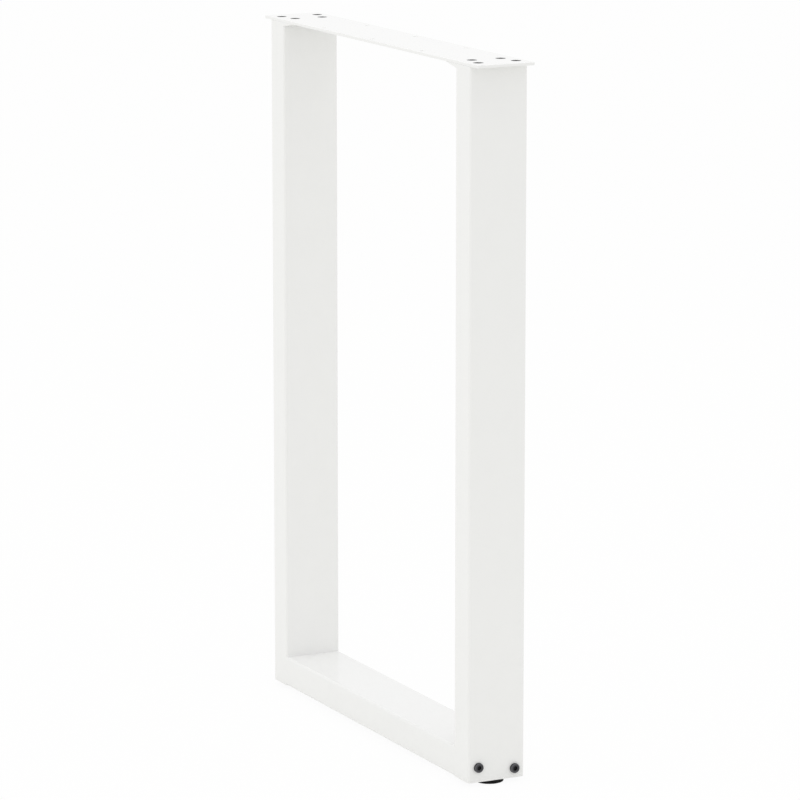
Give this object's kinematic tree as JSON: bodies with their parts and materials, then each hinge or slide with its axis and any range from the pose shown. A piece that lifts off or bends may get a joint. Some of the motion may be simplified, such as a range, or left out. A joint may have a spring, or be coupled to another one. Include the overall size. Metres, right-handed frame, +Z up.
{
  "type": "table leg",
  "caption": "White U-shaped table leg of rectangular steel tube, with a flat top plate for the table top and levelling feet under the uprights.",
  "frame": {"origin": "on the floor, under the middle of the leg, with the feet screwed fully in", "axes": "+Z up to the table top, +X along the leg's width, -Y the face seen in the picture"},
  "size_m": [0.48, 0.062, 0.7143],
  "materials": {
    "white_powder_coat": "fine satin powder coat",
    "black_nylon": "moulded",
    "black_oxide_screw": "black oxide",
    "black_foot_plastic": "moulded, fine grain",
    "zinc_plated_steel": "zinc plated"
  },
  "bodies": {
    "frame": {"left_leg_tube": "white_powder_coat", "right_leg_tube": "white_powder_coat", "bottom_rail_tube": "white_powder_coat", "top_plate": "white_powder_coat", "left_top_block": "black_nylon", "left_bottom_block": "black_nylon", "left_rail_block": "black_nylon", "right_top_block": "black_nylon", "right_bottom_block": "black_nylon", "right_rail_block": "black_nylon", "left_plate_screw_1": "black_oxide_screw", "left_plate_screw_2": "black_oxide_screw", "left_plate_screw_3": "black_oxide_screw", "left_plate_screw_4": "black_oxide_screw", "left_rail_screw_1": "black_oxide_screw", "left_rail_screw_2": "black_oxide_screw", "right_plate_screw_1": "black_oxide_screw", "right_plate_screw_2": "black_oxide_screw", "right_plate_screw_3": "black_oxide_screw", "right_plate_screw_4": "black_oxide_screw", "right_rail_screw_1": "black_oxide_screw", "right_rail_screw_2": "black_oxide_screw"},
    "left_foot": {"left_foot_pad": "black_foot_plastic", "left_foot_stem": "zinc_plated_steel"},
    "right_foot": {"right_foot_pad": "black_foot_plastic", "right_foot_stem": "zinc_plated_steel"}
  },
  "joints": [
    {"name": "left_foot_level", "type": "slide", "parent": "frame", "child": "left_foot", "axis": [0, 0, -1], "range_m": [0, 0.01]},
    {"name": "right_foot_level", "type": "slide", "parent": "frame", "child": "right_foot", "axis": [0, 0, -1], "range_m": [0, 0.01]}
  ]
}
